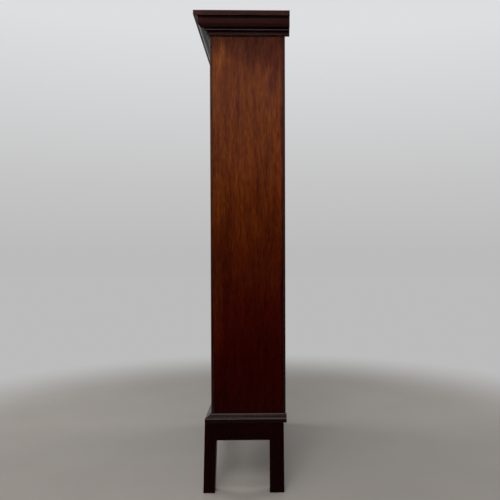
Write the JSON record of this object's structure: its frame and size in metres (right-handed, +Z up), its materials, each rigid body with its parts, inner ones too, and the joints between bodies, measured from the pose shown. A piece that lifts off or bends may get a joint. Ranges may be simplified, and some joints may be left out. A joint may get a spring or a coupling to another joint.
{
  "type": "display cabinet",
  "caption": "Tall shallow mahogany display cabinet with two astragal-glazed doors, adjustable shelves, deep moulded cornice and a stand on square legs.",
  "frame": {"origin": "middle of the footprint on the floor", "axes": "+Z up, the doors face -Y, +X towards the right-hand side that the picture shows"},
  "size_m": [0.806, 0.3134, 1.586],
  "materials": {
    "figured_mahogany": "french-polished figured mahogany veneer",
    "dark_mahogany": "french-polished dark mahogany",
    "softwood": "planed and stained softwood",
    "brass": "dull aged brass",
    "steel": "worn bright steel",
    "glass": "clear drawn glass",
    "putty": "hard stained putty"
  },
  "bodies": {
    "cabinet": {"left_side_panel": "figured_mahogany", "right_side_panel": "figured_mahogany", "front_right_leg": "dark_mahogany", "front_left_leg": "dark_mahogany", "rear_right_leg": "dark_mahogany", "rear_left_leg": "dark_mahogany", "front_rail": "dark_mahogany", "back_rail": "dark_mahogany", "right_side_rail": "dark_mahogany", "left_side_rail": "dark_mahogany", "front_base_moulding": "dark_mahogany", "left_base_moulding": "dark_mahogany", "right_base_moulding": "dark_mahogany", "right_nosing": "dark_mahogany", "left_nosing": "dark_mahogany", "front_cornice_moulding": "dark_mahogany", "left_cornice_moulding": "dark_mahogany", "right_cornice_moulding": "dark_mahogany", "carcase_top_board": "dark_mahogany", "carcase_bottom_board": "dark_mahogany", "carcase_top_rail": "dark_mahogany", "carcase_bottom_rail": "dark_mahogany", "upper_shelf": "dark_mahogany", "middle_shelf": "dark_mahogany", "lower_shelf": "dark_mahogany", "stand_top_board": "softwood", "stand_glue_blocks": "softwood", "back_boards": "softwood", "door_stops": "softwood", "cornice_frame": "softwood", "cornice_dust_board": "softwood", "cornice_corner_blocks": "softwood", "shelf_pegs": "brass", "carcase_hinge_leaves": "brass", "hinge_pins": "brass"},
    "right_door": {"right_door_hinge_stile": "dark_mahogany", "right_door_meeting_stile": "dark_mahogany", "right_door_top_rail": "dark_mahogany", "right_door_bottom_rail": "dark_mahogany", "right_door_astragal_bars": "dark_mahogany", "right_door_glass_panes": "glass", "right_door_putty": "putty", "right_door_hinge_leaves": "brass", "lock_case": "brass", "escutcheon": "brass", "meeting_bead": "dark_mahogany"},
    "left_door": {"left_door_hinge_stile": "dark_mahogany", "left_door_meeting_stile": "dark_mahogany", "left_door_top_rail": "dark_mahogany", "left_door_bottom_rail": "dark_mahogany", "left_door_astragal_bars": "dark_mahogany", "left_door_glass_panes": "glass", "left_door_putty": "putty", "left_door_hinge_leaves": "brass", "strike_plate": "brass", "door_bolt_plates": "brass"},
    "key": {"key": "steel"},
    "lock_bolt": {"lock_bolt": "brass"},
    "top_door_bolt": {"top_door_bolt": "brass"},
    "bottom_door_bolt": {"bottom_door_bolt": "brass"}
  },
  "joints": [
    {"name": "right_door_hinge", "type": "hinge", "parent": "cabinet", "child": "right_door", "pos_m": [0.3307, -0.10415, 0.885], "axis": [0, 0, 1], "range_deg": [0, 110]},
    {"name": "left_door_hinge", "type": "hinge", "parent": "cabinet", "child": "left_door", "pos_m": [-0.3307, -0.10415, 0.885], "axis": [0, 0, -1], "range_deg": [0, 110]},
    {"name": "key_turn", "type": "hinge", "parent": "right_door", "child": "key", "pos_m": [0.0185, -0.1, 0.84222], "axis": [0, 1, 0], "range_deg": [0, 180]},
    {"name": "lock_bolt_slide", "type": "slide", "parent": "right_door", "child": "lock_bolt", "axis": [-1, 0, 0], "range_m": [0, 0.008]},
    {"name": "top_door_bolt_slide", "type": "slide", "parent": "left_door", "child": "top_door_bolt", "axis": [0, 0, 1], "range_m": [0, 0.01]},
    {"name": "bottom_door_bolt_slide", "type": "slide", "parent": "left_door", "child": "bottom_door_bolt", "axis": [0, 0, -1], "range_m": [0, 0.01]}
  ],
  "couplings": [
    {"joint": "lock_bolt_slide", "follows": "key_turn", "m_per_rad": 0.0025}
  ]
}
